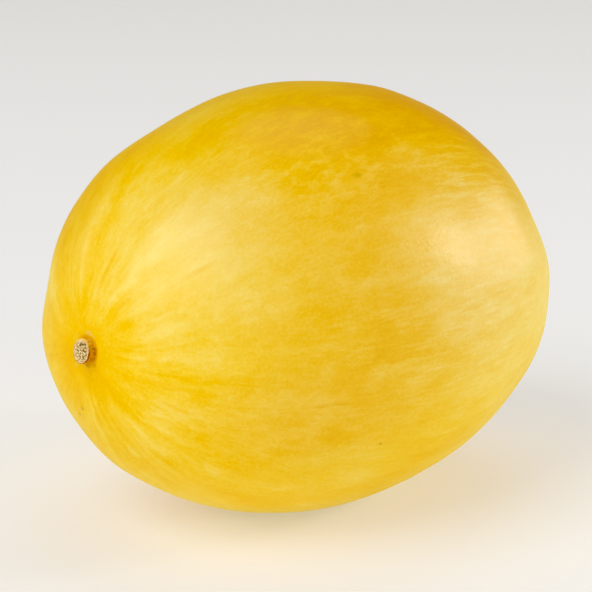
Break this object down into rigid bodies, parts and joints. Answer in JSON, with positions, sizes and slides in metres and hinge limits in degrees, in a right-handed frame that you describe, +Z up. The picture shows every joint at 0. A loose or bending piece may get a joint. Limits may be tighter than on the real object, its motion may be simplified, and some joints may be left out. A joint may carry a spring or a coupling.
{
  "type": "honeydew melon",
  "caption": "Whole yellow honeydew melon, an oval fruit with a smooth waxy rind and the short corky stub of its cut stem, lying on its side on a small flat spot.",
  "frame": {"origin": "middle of the bottom of the object's bounding box, on the flat spot that the melon rests on", "axes": "+X along the fruit's long axis from the stem to the blossom end, +Z up, away from the flat spot"},
  "size_m": [0.2102, 0.158, 0.1563],
  "materials": {
    "rind": "smooth waxy yellow rind with a soft satin shine, mottled from golden to pale yellow",
    "stem_cork": "dry, corky, matt cut stem"
  },
  "bodies": {
    "root": {"fruit": "rind", "stem_stub": "stem_cork"}
  },
  "joints": []
}
